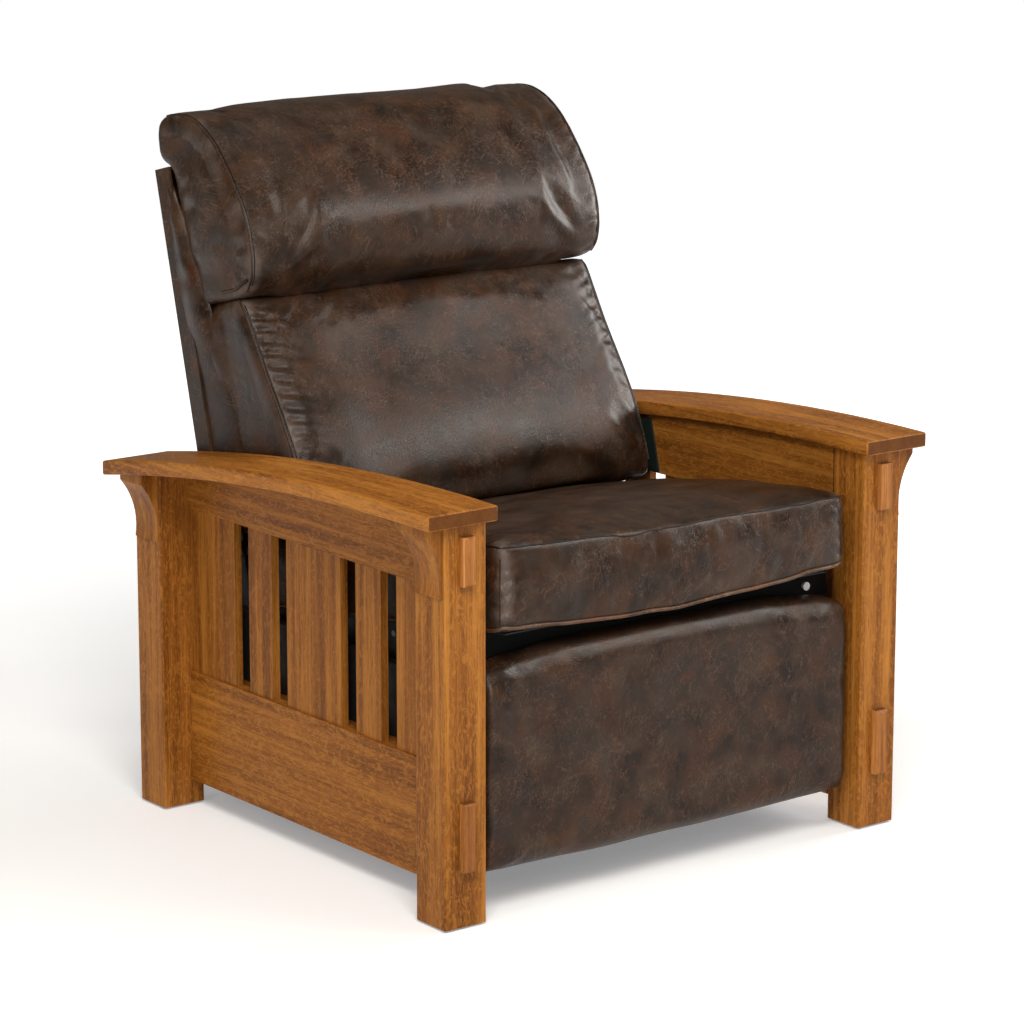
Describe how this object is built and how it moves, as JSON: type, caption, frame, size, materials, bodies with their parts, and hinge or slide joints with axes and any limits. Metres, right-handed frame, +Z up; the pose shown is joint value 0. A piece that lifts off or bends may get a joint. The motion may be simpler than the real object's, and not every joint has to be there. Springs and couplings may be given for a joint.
{
  "type": "mission reclining armchair",
  "caption": "Mission reclining armchair with oak slatted sides, bowed arms, dark brown leather cushions and a fold-out footrest.",
  "frame": {"origin": "bottom centre of the overall box, on the floor", "axes": "+Z up, the chair faces -Y, +X to its left hand side as one sits in it"},
  "size_m": [0.872, 0.8268, 1.0002],
  "materials": {
    "oak": "satin quarter-sawn oak, brown stain",
    "tenon_oak": "satin oak end blocks",
    "leather": "distressed dark brown, semi-gloss",
    "foam": "open foam",
    "black_fabric": "matte woven",
    "hardwood": "unfinished",
    "black_rail": "black paint, matte",
    "black_steel": "semi-gloss black",
    "spring_steel": "bright wire",
    "fasteners": "zinc plated",
    "white_nylon": "moulded",
    "glide": "moulded"
  },
  "bodies": {
    "base": {"front_post_right": "oak", "front_post_left": "oak", "back_post_right": "oak", "back_post_left": "oak", "arm_board_right": "oak", "arm_board_left": "oak", "top_rail_right": "oak", "top_rail_left": "oak", "bottom_rail_right": "oak", "bottom_rail_left": "oak", "side_slats_right": "oak", "side_slats_left": "oak", "tenon_blocks": "tenon_oak", "arm_corbels": "oak", "foot_glides": "glide", "rear_stretcher": "oak", "middle_stretcher": "oak", "runner_cleats": "hardwood", "runner_tracks": "black_steel", "track_screws": "fasteners", "guide_straps": "black_steel"},
    "seat": {"seat_front_rail": "black_rail", "seat_side_rails": "hardwood", "seat_rear_rail": "hardwood", "seat_springs": "spring_steel", "seat_spring_clips": "spring_steel", "seat_deck": "black_fabric", "seat_cushion_cover": "leather", "seat_cushion_foam": "foam", "mechanism_plates": "black_steel", "seat_runners": "black_steel", "plate_screws": "fasteners", "footrest_bumper": "white_nylon", "link_pivot_pins": "fasteners", "back_pivot_bolts": "fasteners"},
    "drive_links": {"rear_links": "black_steel", "torsion_tube": "black_steel", "rear_link_pins": "fasteners"},
    "guide_arms": {"guide_links": "black_steel"},
    "lift_links": {"front_links": "black_steel", "front_link_pins": "fasteners"},
    "tilt_arms": {"tilt_links": "black_steel"},
    "footrest": {"footrest_cover": "leather", "footrest_foam": "foam", "footrest_board": "hardwood", "footrest_brackets": "black_steel", "footrest_fasteners": "fasteners"},
    "back": {"back_frame_posts": "hardwood", "back_top_rail": "hardwood", "back_bottom_rail": "hardwood", "back_springs": "spring_steel", "back_spring_clips": "spring_steel", "back_deck": "black_fabric", "back_cushion_cover": "leather", "back_cushion_foam": "foam", "head_pillow_cover": "leather", "head_pillow_foam": "foam", "outside_back": "leather", "back_brackets": "black_steel", "back_bracket_bolts": "fasteners"}
  },
  "joints": [
    {"name": "seat_slide", "type": "slide", "parent": "base", "child": "seat", "axis": [0, -1, 0], "range_m": [0, 0.05]},
    {"name": "back_recline", "type": "hinge", "parent": "seat", "child": "back", "pos_m": [0, 0.25265, 0.375], "axis": [-1, 0, 0], "range_deg": [0, 35]},
    {"name": "footrest_extend", "type": "hinge", "parent": "seat", "child": "drive_links", "pos_m": [0, -0.24935, 0.318], "axis": [-1, 0, 0], "range_deg": [0, 90]},
    {"name": "guide_link_swing", "type": "hinge", "parent": "seat", "child": "guide_arms", "pos_m": [0, -0.30135, 0.318], "axis": [-1, 0, 0], "range_deg": [0, 90]},
    {"name": "front_link_swing", "type": "hinge", "parent": "drive_links", "child": "lift_links", "pos_m": [0, -0.13448, 0.06594], "axis": [-1, 0, 0], "range_deg": [-90, 0]},
    {"name": "tilt_link_swing", "type": "hinge", "parent": "drive_links", "child": "tilt_arms", "pos_m": [0, -0.15936, 0.12054], "axis": [-1, 0, 0], "range_deg": [-90, 0]},
    {"name": "footrest_tilt", "type": "hinge", "parent": "lift_links", "child": "footrest", "pos_m": [0, -0.28735, 0.215], "axis": [-1, 0, 0], "range_deg": [0, 90]}
  ],
  "couplings": [
    {"joint": "seat_slide", "follows": "back_recline", "m_per_rad": 0.08},
    {"joint": "guide_link_swing", "follows": "footrest_extend", "ratio": 1},
    {"joint": "front_link_swing", "follows": "footrest_extend", "ratio": -1},
    {"joint": "tilt_link_swing", "follows": "footrest_extend", "ratio": -1},
    {"joint": "footrest_tilt", "follows": "footrest_extend", "ratio": 1}
  ]
}
